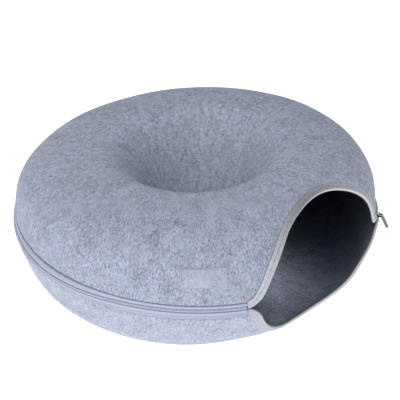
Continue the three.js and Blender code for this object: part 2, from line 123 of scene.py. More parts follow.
LIP_CORNER_POWER = 2
MOUTH_RIGHT = ARCH_HALF + UPPER_CORNER_RIGHT + ARCH_SHIFT
MOUTH_LEFT = ARCH_HALF + UPPER_REACH_LEFT - ARCH_SHIFT
LOWER_CORNER_RIGHT = MOUTH_RIGHT - LIP_HALF - LIP_SHIFT
LOWER_CORNER_LEFT = MOUTH_LEFT - LIP_HALF + LIP_SHIFT

# Binding
BINDING_WIDTH = 11.0
ARCH_INNER = 4.0
LIP_INNER = 2.5
BINDING_THICK = 0.9
BINDING_CLEAR = 0.2
BINDING_FOLD = 1.3
ARCH_STAND = 2.5
ARCH_STAND_END = 125.0
ARCH_STITCH = 4.2
LIP_STITCHES = (3.4, 7.6)
PUCKER = 0.1
SLOW_PUCKER = 0.12
SLOW_PUCKER_RUN = 9.0
SLOW_PUCKER_START = 0.7

# The binding's section: shares of a leg's width, the tape's thickness there, and the fold's turn
TAPE_LEG = np.array([1.0, 0.97, 0.9, 0.75, 0.6, 0.45, 0.3, 0.15])
TAPE_BORDER = np.array([0.55, 0.85, 1.0, 1.0, 1.0, 1.0, 1.0, 1.0])
TAPE_TURN = np.linspace(np.pi / 2, -np.pi / 2, 11)

# Zip
CHAIN_TOP = 107.7
CHAIN_BOTTOM = 103.4
CHAIN_RADIUS = 302.0
ZIP_END_ROOM = 1.5
SLIDER_POST_END = 5.2
TAPE_THICK = 0.9
TOOTH_PITCH = 1.5
ZIP_SAG = 3.4
ZIP_SAG_PLACE = math.radians(-88)
ZIP_SAG_SPREAD = math.radians(32)
TAPE_STITCH_HEIGHT = 96.6
TAPE_STITCH_RADIUS = 303.35
TAPE_STITCH_RIGHT = 14.0
TAPE_STITCH_LEFT = 4.0
UPPER_TAPE_RADIUS = 301.2
LOWER_TAPE_RADIUS = 302.8
UPPER_TAPE_LAP = 0.2
LOWER_TAPE_LAP = 0.1
TEETH_GAP = 0.45
TAPE_END_GAP = 0.6

# Sections of the zip's tapes and coil: shares of the width, and how far out each point stands
TAPE_SHARES = np.array([0.0, 0.03, 0.09, 0.2, 0.4, 0.6, 0.8, 0.91, 0.97, 1.0])
TAPE_MIDDLE = (0.3, 0.35, 0.25)
UPPER_FELT_DIVE = (-1.6, -1.2, -0.6, 0.0)
UPPER_TEETH_DIVE = (0.25, 0.2, 0.05)
LOWER_FELT_DIVE = (1.6, 1.5, 1.2, 0.7)
LOWER_TEETH_DIVE = (0.0, -0.2, -0.6)
COIL_SHARES = np.array([-1, -0.9, -0.6, -0.3, -0.06, 0.06, 0.3, 0.6, 0.9, 1])
COIL_CROWN = np.array([-0.6, 0.1, 0.55, 0.6, 0.35, 0.35, 0.6, 0.55, 0.2, -0.4])
COIL_BACK = -1.3
COIL_RIB = 0.35
COIL_RIB_LEVEL = 0.6
COIL_RIB_EDGE = 0.7

# Patch
LABEL_PLACE = math.radians(-42.3)
LABEL_WIDTH = 68.0
LABEL_FOOT = 27.8
LABEL_TALL = 30.0
LABEL_THICK = 0.9
LABEL_LIFT = 0.15
LABEL_UNDER = 0.05
LABEL_EDGE = 0.35
LABEL_EDGE_ROUND = 1.6
LABEL_STITCH_INSET = 1.5

# Threads
STITCH_LONG = 3.0
STITCH_PITCH = 4.2
STITCH_LEAD = 0.15
THREAD = 0.3
THREAD_TIP = 0.05
THREAD_RISE = 0.55
THREAD_DIVE = 1.5

# Metal pieces: how far their edges are rounded, and which turns count as flat or sharp
SLIDER_EDGE = 0.35
PULL_EDGE = 0.3
FLAT_TURN = math.radians(2)
SHARP_TURN = math.radians(30)
WELD = 0.001

# Fineness of the meshes
COLUMNS = 280
PROFILE_STEPS = 400
NORMAL_REACH = 1.5
PATH_STEP = 2.2
EDGE_ROWS = np.array([0.03, 0.12, 0.3, 0.6, 1.0, 1.4])
EDGE_ROW_GAP = 0.5
MOUTH_ROWS = 46
DOME_ROWS = 92
PAN_ROWS = 26
BOTTOM_ROWS = 30
BINDING_ROWS = 160
CORNER_ROWS = 40
CORNER_TURN = math.radians(66)
THREAD_RINGS = 6
THREAD_SIDES = 6
THREAD_END_ROWS = 2
TAPE_COLUMNS = 360
COIL_STEPS = 4
TAPE_STITCH_STEPS = 500
LABEL_COLUMNS = 57
LABEL_ROWS = 31
LABEL_STITCH_STEPS = 40


# A point of a quarter superellipse, as shares of its two half axes
def super_quarter(angle, power):
    along = np.abs(np.cos(angle)) ** (2 / power)
    up = np.abs(np.sin(angle)) ** (2 / power)
    return along, up


# A share that fades from 1 to 0 with level ends
def fading(share):
    return (1 + np.cos(np.pi * np.minimum(share, 1))) / 2


# A curve through close points, read by the distance along it
class Profile:
    def __init__(self, points):
        self.points = np.asarray(points, float)
        steps = np.linalg.norm(np.diff(self.points, axis=0), axis=1)
        self.lengths = np.concatenate([[0], np.cumsum(steps)])
        self.total = self.lengths[-1]

    def at(self, distance):
        distance = np.asarray(distance, float)
        columns = [np.interp(distance, self.lengths, self.points[:, k]) for k in (0, 1)]
        place = np.stack(columns, -1)
        start = self.points[1] - self.points[0]
        before = self.points[0] + distance[..., None] * start / np.linalg.norm(start)
        return np.where((distance < 0)[..., None], before, place)

    def normal(self, distance):
        start = np.minimum(np.asarray(distance, float) - NORMAL_REACH, self.total - 2 * NORMAL_REACH)
        run = self.at(start + 2 * NORMAL_REACH) - self.at(start)
        run = run / np.linalg.norm(run, axis=-1, keepdims=True)
        return np.stack([run[..., 1], -run[..., 0]], -1)


# Upper shell's outside, from the zip over the crest to the middle of the dip
def upper_profile():
    along, up = super_quarter(np.linspace(0, np.pi / 2, PROFILE_STEPS + 1), SHOULDER_POWER)
    rise = (CREST_HEIGHT - UPPER_EDGE) * up
    radius = CREST_RADIUS + (OUTER_RADIUS - CREST_RADIUS) * along
    radius = radius + EDGE_FLARE * fading(rise / EDGE_FLARE_RISE)
    shoulder = np.stack([radius, UPPER_EDGE + rise], 1)
    along, up = super_quarter(np.linspace(0, DIP_TURN, PROFILE_STEPS + 1)[1:], DIP_POWER)
    radius = CREST_RADIUS - (CREST_RADIUS - DIP_NECK_RADIUS) * up
    wall = np.stack([radius, DIP_WALL_BASE + (CREST_HEIGHT - DIP_WALL_BASE) * along], 1)
    turn = wall[-1]
    wall_pull = turn - np.array([DIP_BEND_IN, DIP_BEND_DOWN])
    floor_pull = np.array([DIP_FLOOR_RADIUS + DIP_BEND_OUT, DIP_FLOOR])
    floor_start = np.array([DIP_FLOOR_RADIUS, DIP_FLOOR])
    t = np.linspace(0, 1, PROFILE_STEPS + 1)[1:, None]
    bend = (1 - t) ** 3 * turn + 3 * (1 - t) ** 2 * t * wall_pull
    bend = bend + 3 * (1 - t) * t**2 * floor_pull + t**3 * floor_start
    return Profile(np.concatenate([shoulder, wall, bend, [[0, DIP_FLOOR]]]))


# Lower pan's outside, from the zip down the wall to the middle of the bottom
def lower_profile():
    along, up = super_quarter(np.linspace(0, np.pi / 2, PROFILE_STEPS + 1), PAN_POWER)
    radius = BOTTOM_RADIUS + (PAN_RADIUS - BOTTOM_RADIUS) * along
    radius = radius + PAN_FLARE * fading(PAN_EDGE * up / PAN_FLARE_DROP)
    wall = np.stack([radius, PAN_EDGE * (1 - up)], 1)
    return Profile(np.concatenate([wall, [[0, 0]]]))


UPPER = upper_profile()
LOWER = lower_profile()


# How far the wall stands out of round at a place. It dies out towards the middle
def waved(angle, radius, height):
    share = np.clip((radius - WAVE_INNER) / (WAVE_OUTER - WAVE_INNER), 0, 1)
    share = share**2 * (3 - 2 * share)
    total = 0
    for out, place, spread, level, band in WAVES:
        turn = angle - math.radians(place)
        turn = np.abs(np.arctan2(np.sin(turn), np.cos(turn)))
        round_share = fading(turn / math.radians(spread))
        total = total + out * share * round_share * fading(np.abs(height - level) / band)
    return total


# A place at an angle from the mouth's middle line
def around(angle, radius, height):
    reach = radius + waved(angle, radius, height)
    return np.stack(np.broadcast_arrays(reach * np.sin(angle), -reach * np.cos(angle), height), -1)


FULL_WAY = around(FULL_SIDE, 1.0, 0.0)


# The felt's slight swells, which die out at the zip
def swell(angle, distance):
    waves = sum(high * np.sin(count * angle + distance / run + start) for high, count, run, start in SWELLS)
    return waves * np.clip(distance / SWELL_START, 0, 1)


# A point of the upper shell, raised off its outside (sunk if the lift is negative)
def upper_point(angle, distance, lift):
    angle, distance, lift = np.broadcast_arrays(angle, np.asarray(distance, float), lift)
    lift = lift + swell(angle, distance)
    place = UPPER.at(distance) + lift[..., None] * UPPER.normal(distance)
    point = around(angle, place[..., 0], place[..., 1])
    above = np.maximum(place[..., 1] - UPPER_EDGE, 0)
    point[..., 2] += above * FULLNESS * (point @ FULL_WAY) / OUTER_RADIUS
    return point


# A point of the lower pan, raised off its outside (sunk if the lift is negative)
def lower_point(angle, distance, lift):
    angle, distance, lift = np.broadcast_arrays(angle, np.asarray(distance, float), lift)
    flatness = np.clip(LOWER.at(distance)[..., 1] / PAN_FLATTENS, 0, 1)
    lift = lift + swell(angle + PAN_SWELL_TURN, distance) * flatness
    place = LOWER.at(distance) - lift[..., None] * LOWER.normal(distance)
    point = around(angle, place[..., 0], place[..., 1])
    share = np.clip(1 - place[..., 1] / PAN_EDGE, 0, 1)
    return point - BOTTOM_SHIFT * share[..., None] * FULL_WAY


# How far a rounded corner stands out, at a depth past the seam
def corner_reach(depth, radius):
    inside = np.clip(radius - depth, 0, radius)
    return radius - np.sqrt(radius**2 - inside**2)


# Mouth's edge on the upper shell, as an angle. Side is 1 towards +X and -1 towards -X
def arch_edge(side, distance):
    share = np.clip(distance / ARCH_RISE, 0, 1)
    corner, cut = (UPPER_CORNER_RIGHT, 0.0) if side > 0 else (UPPER_CORNER_LEFT, LEFT_CORNER_CUT)
    half = ARCH_HALF * np.sqrt(1 - share**2) + corner_reach(distance + UPPER_EDGE - SEAM_UPPER + cut, corner)
    if side < 0:
        half = half + ARCH_BULGE * fading(np.abs(distance - ARCH_BULGE_PLACE) / ARCH_BULGE_REACH)
        half = half - ARCH_SHOULDER * fading(np.abs(distance - ARCH_SHOULDER_PLACE) / ARCH_SHOULDER_REACH)
    return (ARCH_SHIFT + ARCH_LEAN * share**ARCH_LEAN_POWER + side * half) / OUTER_RADIUS


# Mouth's edge on the lower pan, as an angle
def lip_edge(side, distance):
    height = LOWER.at(distance)[..., 1]
    share = np.clip((PAN_EDGE - height) / (PAN_EDGE - LIP_HEIGHT), 0, 1)
    corner = LOWER_CORNER_RIGHT if side > 0 else LOWER_CORNER_LEFT
    half = LIP_HALF * (1 - share**LIP_SIDE_POWER) ** (1 / LIP_CORNER_POWER)
    half = half + corner_reach(SEAM_LOWER - height, corner)
    return (LIP_SHIFT + LIP_LEAN * share + side * half) / OUTER_RADIUS


# Distance down the lower pan at which heights are reached
def distance_at_height(height):
    heights = LOWER.points[: PROFILE_STEPS + 1, 1][::-1]
    return np.interp(height, heights, LOWER.lengths[: PROFILE_STEPS + 1][::-1])


LIP_BOTTOM = float(distance_at_height(LIP_HEIGHT))


# A mesh object in metres from points in millimetres, with unused points left out
def made(name, points, faces, slots, materials, attributes=None):
    used, places = np.unique(np.concatenate([np.asarray(face) for face in faces]), return_inverse=True)
    counts = [len(face) for face in faces]
    starts = np.concatenate([[0], np.cumsum(counts)])[:-1]
    mesh = bpy.data.meshes.new(name)
    mesh.vertices.add(len(used))
    mesh.vertices.foreach_set("co", (points[used] * MM).astype(np.float32).ravel())
    mesh.loops.add(len(places))
    mesh.loops.foreach_set("vertex_index", places.astype(np.int32))
    mesh.polygons.add(len(faces))
    mesh.polygons.foreach_set("loop_start", starts.astype(np.int32))
    mesh.polygons.foreach_set("material_index", np.asarray(slots, np.int32))
    mesh.update(calc_edges=True)
    mesh.validate()
    for label, values in (attributes or {}).items():
        layer = mesh.attributes.new(label, "FLOAT_VECTOR", "POINT")
        layer.data.foreach_set("vector", values[used].astype(np.float32).ravel())
    shape = bmesh.new()
    shape.from_mesh(mesh)
    bmesh.ops.recalc_face_normals(shape, faces=shape.faces)
    shape.to_mesh(mesh)
    shape.free()
    mesh.polygons.foreach_set("use_smooth", np.ones(len(mesh.polygons), bool))
    piece = bpy.data.objects.new(name, mesh)
    bpy.context.scene.collection.objects.link(piece)
    for material in materials:
        mesh.materials.append(material)
    return piece


# A closed body between two matching grids of points. From row "joined" on, the side columns meet
def closed_sheet(name, outside, inside, materials, attributes=None, joined=None):
    rows, columns = outside.shape[:2]
    joined = rows if joined is None else joined
    ids = np.arange(2 * rows * columns).reshape(2, rows, columns)
    ids[:, joined:, -1] = ids[:, joined:, 0]
    if joined < rows:
        ids[:, -1, :] = ids[:, -1, :1]
    faces, slots = [], []

    def quads(a, b, c, d, slot):
        for corners in zip(a.ravel(), b.ravel(), c.ravel(), d.ravel()):
            face = list(dict.fromkeys(corners))
            if len(face) > 2:
                faces.append(face)
                slots.append(slot)

    outer, inner = ids
    last = len(materials) - 1
    quads(outer[:-1, :-1], outer[:-1, 1:], outer[1:, 1:], outer[1:, :-1], 0)
    quads(inner[:-1, :-1], inner[1:, :-1], inner[1:, 1:], inner[:-1, 1:], last)
    top = min(joined, rows - 1)
    quads(outer[:top, 0], outer[1 : top + 1, 0], inner[1 : top + 1, 0], inner[:top, 0], 0)
    quads(outer[:top, -1], inner[:top, -1], inner[1 : top + 1, -1], outer[1 : top + 1, -1], 0)
    quads(outer[0, :-1], inner[0, :-1], inner[0, 1:], outer[0, 1:], 0)
    if joined == rows:
        quads(outer[-1, :-1], outer[-1, 1:], inner[-1, 1:], inner[-1, :-1], 0)
    points = np.concatenate([outside.reshape(-1, 3), inside.reshape(-1, 3)])
    doubled = {k: np.concatenate([v.reshape(-1, 3)] * 2) for k, v in (attributes or {}).items()}
    return made(name, points, faces, slots, materials, doubled)


# How far a cut edge is rounded off, at a distance from it
def rounded_off(distance, size):
    share = np.clip(1 - distance / size, 0, 1)
    return size * (1 - np.sqrt(1 - share**2))


# A felt shell with the mouth cut out of its first rows
def felt_shell(name, point, edge, mouth_rows, closed_rows, materials, rise, edge_round):
    rows = np.concatenate([mouth_rows, closed_rows])
    near = np.minimum(rows, mouth_rows[-1])
    start = edge(1, near)
    end = edge(-1, near) + 2 * np.pi
    share = np.linspace(0, 1, COLUMNS + 1)
    angle = start[:, None] + (end - start)[:, None] * share
    distance = np.broadcast_to(rows[:, None], angle.shape)
    worn = rounded_off(distance, edge_round)
    outside = point(angle, distance, -worn)
    inside = point(angle, distance, worn - FELT)
    turn = np.stack([OUTER_RADIUS * np.cos(angle), OUTER_RADIUS * np.sin(angle), rise * distance], -1)
    joined = len(mouth_rows) - 1
    return closed_sheet(name, outside, inside, materials, {"fibre": turn * MM}, joined)


# Steps that get shorter towards the end
def eased(start, end, count):
    return start + (end - start) * np.sin(np.linspace(0, np.pi / 2, count + 1))


# Rows beside the mouth, with close ones for the rounded cut edge in front
def edged(rows):
    return np.concatenate([EDGE_ROWS, rows[rows > EDGE_ROWS[-1] + EDGE_ROW_GAP]])


def upper_felt(materials):
    mouth_rows = edged(eased(0, ARCH_RISE, MOUTH_ROWS))
    closed_rows = np.linspace(ARCH_RISE, UPPER.total - 1, DOME_ROWS)[1:]
    closed_rows = np.append(closed_rows, UPPER.total)
    return felt_shell("upper_felt", upper_point, arch_edge, mouth_rows, closed_rows, materials, 1, EDGE_ROUND)


def lower_felt(materials):
    mouth_rows = edged(distance_at_height(eased(PAN_EDGE, LIP_HEIGHT, MOUTH_ROWS)))
    flat = LOWER.lengths[PROFILE_STEPS]
    wall_rows = np.linspace(LIP_BOTTOM, flat, PAN_ROWS)[1:]
    bottom_rows = np.linspace(flat, LOWER.total, BOTTOM_ROWS)[1:]
    rows = (mouth_rows, np.concatenate([wall_rows, bottom_rows]))
    return felt_shell("lower_felt", lower_point, lip_edge, *rows, materials, -1, PAN_EDGE_ROUND)


# The mouth's edge from one zip end to the other, evenly spaced: angles, distances, lengths and side ways
def edge_path(point, edge, rows):
    left = np.stack([edge(-1, rows), rows], 1)
    right = np.stack([edge(1, rows), rows], 1)[::-1]
    path = np.concatenate([left, right[1:]])
    radius = np.linalg.norm(point(path[:, 0], path[:, 1], 0.0)[:, :2], axis=1)
    steps = np.hypot(np.diff(path[:, 0]) * (radius[1:] + radius[:-1]) / 2, np.diff(path[:, 1]))
    lengths = np.concatenate([[0], np.cumsum(steps)])
    even = np.linspace(0, lengths[-1], int(lengths[-1] / PATH_STEP) + 1)
    angle = np.interp(even, lengths, path[:, 0])
    distance = np.interp(even, lengths, path[:, 1])
    radius = np.interp(even, lengths, radius)
    run = np.stack([np.gradient(angle) * radius, np.gradient(distance)], 1)
    run[[0, -1]] = (1, 0)
    run = run / np.linalg.norm(run, axis=1, keepdims=True)
    aside = np.stack([-run[:, 1] / radius, run[:, 0]], 1)
    return angle, distance, even, aside


# Places beside the mouth's edge, at widths away from it and lifts off the felt
def beside_edge(point, path, width, lift):
    angle, distance, _, aside = path
    width, lift = np.broadcast_arrays(width, lift)
    return point(angle[:, None] + aside[:, :1] * width, distance[:, None] + aside[:, 1:] * width, lift)


# Folded tape round a mouth edge: an outer leg, the fold over the cut edge and an inner leg
# The fold stands further out of the edge at the tape's start, if so told
def folded_tape(name, point, path, inner_leg, materials, stand=0.0):
    def section(thick):
        high = BINDING_CLEAR + thick
        deep = FELT / 2 + high
        fold = BINDING_FOLD - BINDING_THICK + thick
        lifts = [BINDING_CLEAR + thick * TAPE_BORDER, deep * np.sin(TAPE_TURN) - FELT / 2]
        lifts.append(-FELT - BINDING_CLEAR - thick * TAPE_BORDER[::-1])
        widths = [BINDING_WIDTH * TAPE_LEG, -fold * np.cos(TAPE_TURN), inner_leg * TAPE_LEG[::-1]]
        return np.concatenate(widths), np.concatenate(lifts)

    length = path[2]
    pucker = PUCKER * np.sin(2 * np.pi * length / STITCH_PITCH)
    pucker = pucker + SLOW_PUCKER * np.sin(length / SLOW_PUCKER_RUN + SLOW_PUCKER_START)
    beyond = stand * np.clip(2 - 2 * length / ARCH_STAND_END, 0, 1)
    round_fold = np.concatenate([0 * TAPE_LEG, np.cos(TAPE_TURN), 0 * TAPE_LEG])
    grids = []
    for thick in (BINDING_THICK, 0.0):
        width, lift = section(thick)
        width = width - beyond[:, None] * round_fold
        raised = np.clip(width / BINDING_WIDTH, 0, 1) * np.sign(lift + FELT / 2)
        grids.append(beside_edge(point, path, width, lift + pucker[:, None] * raised))
    width = section(BINDING_THICK)[0]
    turned = BINDING_FOLD * np.sin(TAPE_TURN)
    across = np.concatenate([width[: len(TAPE_LEG)], turned, -width[-len(TAPE_LEG) :]])
    weave = np.stack(np.broadcast_arrays(length[:, None], across, 0.0), -1) * MM
    return closed_sheet(name, grids[0], grids[1], materials, {"weave": weave})


# Short threads along a line of places: each one a capsule that dives into the cloth at both ends
def threads(name, places, outward, material):
    steps = np.linalg.norm(np.diff(places, axis=0), axis=1)
    lengths = np.concatenate([[0], np.cumsum(steps)])
    count = int(lengths[-1] / STITCH_PITCH)
    starts = (np.arange(count) + STITCH_LEAD) * lengths[-1] / count
    share = np.linspace(0, 1, THREAD_RINGS)
    ring = np.linspace(0, 2 * np.pi, THREAD_SIDES, endpoint=False)
    fat = THREAD * np.sqrt(np.clip(1 - (2 * share - 1) ** 4, THREAD_TIP, 1))
    sink = THREAD * (THREAD_RISE - THREAD_DIVE * (2 * share - 1) ** 4)
    points, faces = [], []
    for start in starts:
        along = start + share * STITCH_LONG
        middle = np.stack([np.interp(along, lengths, places[:, k]) for k in range(3)], 1)
        out = np.stack([np.interp(along, lengths, outward[:, k]) for k in range(3)], 1)
        run = np.gradient(middle, axis=0)
        run = run / np.linalg.norm(run, axis=1, keepdims=True)
        side = np.cross(run, out)
        side = side / np.linalg.norm(side, axis=1, keepdims=True)
        middle = middle + out * sink[:, None]
        first = len(points) * len(ring)
        for i in range(len(share)):
            circle = np.outer(np.cos(ring), side[i]) + np.outer(np.sin(ring), out[i])
            points.append(middle[i] + fat[i] * circle)
        for i in range(len(share) - 1):
            for j in range(len(ring)):
                k = (j + 1) % len(ring)
                low, high = first + i * len(ring), first + (i + 1) * len(ring)
                faces.append([low + j, low + k, high + k, high + j])
        faces.append(list(range(first, first + len(ring)))[::-1])
        end = first + (len(share) - 1) * len(ring)
        faces.append(list(range(end, end + len(ring))))
    return made(name, np.concatenate(points), faces, [0] * len(faces), [material])


# Threads beside the mouth's edge
def edge_threads(name, point, path, width, material):
    high = BINDING_CLEAR + BINDING_THICK
    places = beside_edge(point, path, width, high)[:, 0]
    outward = beside_edge(point, path, width, high + 1)[:, 0] - places
    kept = slice(THREAD_END_ROWS, -THREAD_END_ROWS)
    return threads(name, places[kept], outward[kept], material)


# How far the zip's teeth sag at a place. The tapes' felt sides stay where they are
def sagged(angle, heights):
    share = np.interp(heights, (PAN_EDGE, CHAIN_BOTTOM, CHAIN_TOP, UPPER_EDGE), (0, 1, 1, 0))
    turn = angle - ZIP_SAG_PLACE
    turn = np.abs(np.arctan2(np.sin(turn), np.cos(turn)))
    return heights - ZIP_SAG * share * fading(turn / ZIP_SAG_SPREAD)


# A strip round the zip ring: a closed line of radii and heights, with the mouth's gap left out
def ring_strip(name, radii, heights, right, left, columns, materials, ribs=None):
    share = np.linspace(0, 1, columns + 1)[:, None]
    start = np.asarray(right) / OUTER_RADIUS
    end = 2 * np.pi - np.asarray(left) / OUTER_RADIUS
    angle = start + (end - start) * share
    radius = radii + (0 if ribs is None else ribs(angle, heights))
    points = around(angle, radius, sagged(angle, heights))
    count = points.shape[1]
    ids = np.arange(points.shape[0] * count).reshape(-1, count)
    beyond = np.roll(ids, -1, axis=1)
    walls = np.stack([ids[:-1], beyond[:-1], beyond[1:], ids[1:]], -1).reshape(-1, 4)
    faces = walls.tolist() + [ids[0][::-1].tolist(), ids[-1].tolist()]
    weave = np.stack(np.broadcast_arrays(angle * OUTER_RADIUS, heights, 0.0), -1) * MM
    flat = points.reshape(-1, 3)
    return made(name, flat, faces, [0] * len(faces), materials, {"weave": weave.reshape(-1, 3)})


# A tape's section, from its felt side to its teeth: it dives in at the teeth, and at the felt as told
def tape_section(felt_side, teeth_side, radius, felt_dive, teeth_dive):
    dive = np.array([*felt_dive, *TAPE_MIDDLE, *teeth_dive])
    height = felt_side + (teeth_side - felt_side) * TAPE_SHARES
    radii = np.concatenate([radius + dive, (radius + dive - TAPE_THICK)[::-1]])
    return radii, np.concatenate([height, height[::-1]])


def upper_tape(materials):
    sides = (UPPER_EDGE - UPPER_TAPE_LAP, CHAIN_TOP + TEETH_GAP)
    radii, heights = tape_section(*sides, UPPER_TAPE_RADIUS, UPPER_FELT_DIVE, UPPER_TEETH_DIVE)
    past = np.minimum(heights - UPPER_EDGE, 0)
    right = arch_edge(1, past) * OUTER_RADIUS + TAPE_END_GAP
    left = -arch_edge(-1, past) * OUTER_RADIUS + TAPE_END_GAP
    return ring_strip("upper_zip_tape", radii, heights, right, left, TAPE_COLUMNS, materials)


def lower_tape(materials):
    sides = (PAN_EDGE + LOWER_TAPE_LAP, CHAIN_BOTTOM - TEETH_GAP)
    radii, heights = tape_section(*sides, LOWER_TAPE_RADIUS, LOWER_FELT_DIVE, LOWER_TEETH_DIVE)
    past = np.minimum(PAN_EDGE - heights, 0)
    right = lip_edge(1, past) * OUTER_RADIUS + TAPE_END_GAP
    left = -lip_edge(-1, past) * OUTER_RADIUS + TAPE_END_GAP
    return ring_strip("lower_zip_tape", radii, heights, right, left, TAPE_COLUMNS, materials)


# The closed coil: two rows of teeth that mesh in the middle
def zip_coil(materials):
    middle = (CHAIN_TOP + CHAIN_BOTTOM) / 2
    half = (CHAIN_TOP - CHAIN_BOTTOM) / 2
    back_shares = COIL_SHARES[::-1][1:-1:3]
    heights = middle + half * np.concatenate([COIL_SHARES, back_shares])
    back = np.full(len(back_shares), COIL_BACK)
    radii = CHAIN_RADIUS + np.concatenate([COIL_CROWN, back])
    inside = np.concatenate([np.clip(COIL_CROWN + COIL_RIB_EDGE, 0, 1), back * 0])

    def ribs(angle, level):
        phase = np.where(level > middle, 0.0, np.pi / 2)
        wave = np.abs(np.sin(np.pi * angle * OUTER_RADIUS / TOOTH_PITCH + phase))
        return (wave - COIL_RIB_LEVEL) * COIL_RIB * inside

    right = MOUTH_RIGHT + SLIDER_POST_END
    left = MOUTH_LEFT + ZIP_END_ROOM
    columns = int((2 * np.pi * OUTER_RADIUS - right - left) / TOOTH_PITCH * COIL_STEPS)
    return ring_strip("zip_coil", radii, heights, right, left, columns, materials, ribs)


def tape_threads(material):
    right = (MOUTH_RIGHT + TAPE_STITCH_RIGHT) / OUTER_RADIUS
    left = 2 * np.pi - (MOUTH_LEFT + TAPE_STITCH_LEFT) / OUTER_RADIUS
    angle = np.linspace(right, left, TAPE_STITCH_STEPS)
    outward = around(angle, 1.0, 0.0)
    places = around(angle, TAPE_STITCH_RADIUS, sagged(angle, TAPE_STITCH_HEIGHT))
    return threads("lower_tape_stitches", places, outward, material)


# Sewn patch that follows the dome, with soft edges
def sewn_patch(materials):
    across = np.linspace(-1, 1, LABEL_COLUMNS)
    up = np.linspace(0, 1, LABEL_ROWS)
    angle = LABEL_PLACE + across * LABEL_WIDTH / 2 / OUTER_RADIUS
    distance = LABEL_FOOT + LABEL_TALL * up[:, None]
    to_side = (1 - np.abs(across)) * LABEL_WIDTH / 2
    to_end = np.minimum(up, 1 - up)[:, None] * LABEL_TALL
    worn = np.minimum(to_side, to_end)
    high = LABEL_LIFT + LABEL_THICK * np.clip(LABEL_EDGE + worn / LABEL_EDGE_ROUND, 0, 1)
    outside = upper_point(angle, distance, high)
    inside = upper_point(angle, distance, LABEL_UNDER + 0 * high)
    fibre = np.stack(np.broadcast_arrays(angle * OUTER_RADIUS, distance, 0.0), -1) * MM
    return closed_sheet("sewn_patch", outside, inside, materials, {"fibre": fibre})


def patch_threads(material):
    side = (LABEL_WIDTH / 2 - LABEL_STITCH_INSET) / OUTER_RADIUS
    low = LABEL_FOOT + LABEL_STITCH_INSET
    high = LABEL_FOOT + LABEL_TALL - LABEL_STITCH_INSET
    corners = [(-side, low), (side, low), (side, high), (-side, high), (-side, low)]
    line = []
    for (a, b), (c, d) in zip(corners[:-1], corners[1:]):
        t = np.linspace(0, 1, LABEL_STITCH_STEPS, endpoint=False)
        line.append(np.stack([a + (c - a) * t, b + (d - b) * t], 1))
    line = np.concatenate(line)
    angle, distance = LABEL_PLACE + line[:, 0], line[:, 1]
    places = upper_point(angle, distance, LABEL_LIFT + LABEL_THICK)
    outward = upper_point(angle, distance, LABEL_LIFT + LABEL_THICK + 1) - places
    return threads("patch_stitches", places, outward, material)


# A metal piece of the zip, from its CAD node, with its edges rounded off
def metal_piece(name, node, material, width):
    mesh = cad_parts[node].data.copy()
    mesh.name = name
    mesh.materials.clear()
    mesh.materials.append(material)
    shape = bmesh.new()
    shape.from_mesh(mesh)
    bmesh.ops.remove_doubles(shape, verts=shape.verts, dist=WELD * MM)
    bmesh.ops.dissolve_limit(shape, angle_limit=FLAT_TURN, verts=shape.verts, edges=shape.edges)
    sharp = [e for e in shape.edges if len(e.link_faces) == 2 and e.calc_face_angle() > SHARP_TURN]
    bmesh.ops.bevel(shape, geom=sharp, offset=width * MM, segments=2, affect="EDGES", clamp_overlap=True)
    shape.to_mesh(mesh)
    shape.free()
    piece = bpy.data.objects.new(name, mesh)
    bpy.context.scene.collection.objects.link(piece)
    return piece


# Looks are worked out in metres. A span runs from one value to another, between two shares
BLACK = (0, 0, 0, 1)
ACROSS_WAY = (0.7071, -0.7071, 0)
DEPTH_WAY = (0.7071, 0.7071, 0)
FRONT_WAY = (-0.7071, -0.7071, -0.5)

# Painted daylight in the tunnel, which scales the inside felt's colour: over the floor, less on the dip's
# wall, at the rim and the lip, and the least light
DAYLIGHT = 4.2
DAYLIGHT_EDGE = 0.156
DAYLIGHT_FADE = 0.036
DAYLIGHT_MOST = 1.6
DAYLIGHT_NEAR = (-0.195, -0.07, 0.3, 1)
DAYLIGHT_FAR = (-0.11, 0.06, 1, 0.17)
DIP_WALL_SPAN = (0.1, 0.145, 0.3, 1)
RIM_ACROSS = (0.25, 0.3, 0, 1)
RIM_TOP = (0.1, 0.13, 1, 0)
RIM_FOOT = (0.04, 0.085, 0, 0.8)
LIP_ACROSS = (0.155, 0.19, 0, 0.55)
LIP_DEPTH = (-0.13, -0.06, 1, 0)
LEAST_LIGHT = (0.14, 0.185, 0.36)

# Felt: each noise has a stretch, a scale, its detail, its roughness and its distortion
UPRIGHT_GRAIN = ((1, 1, 0.52), 450, 3.0, 0.6, 0.6)
UPRIGHT_SPAN = (0, 1, 0.09, 0.91)
LEVEL_GRAIN = ((0.85, 0.85, 1), 235, 3.0, 0.6, 0.6)
LEVEL_SPAN = (0, 1, 0.19, 0.81)
FRONT_SPAN = (0.03, 0.1, 0, 1)
CLOUDS = ((1, 1, 0.8), 45, 3.0, 0.6, 0.4)
GRAIN_SHARE = 0.8
CLOUD_SHARE = 0.2
FELT_TONE = (0.28, 0.62, 0, 1)
FELT_DARK = 1.1
FELT_PALE = 0.6
HUES = ((1, 1, 1), 55, 2.0, 0.5)
HUE_SPAN = (0.35, 0.65, 0, 1)
HUE_ENDS = ((0.97, 1.01, 0.98, 1), (1.03, 0.985, 1.02, 1))
# Painted shade: where the felt starts and stops darkening towards the zip's edge
EDGE_SHADE_REACH = (0.01, 0.06)
HOLLOW_SPAN = (0.215, 0.27, 0, 1)
HOLLOW_TINT = (1.055, 1.055, 0.985, 1)

# Strands in the felt: stretch, scale, width, where they start, their strength and their share of the colour
STRANDS = (
    ((1, 1, 0.6), 95, 0.03, 0.53, 0.5, 0.35),
    ((0.7, 0.7, 1), 110, 0.03, 0.57, 0.3, 1.5),
    ((1, 1, 0.8), 26, 0.018, 0.57, 0.5, 0.3),
)
STRAND_NOISE = (1.0, 0.5, 1.0)
STRAND_MIDDLE = 0.5
STRAND_PATCH = 0.7
STRAND_FADE = 0.12

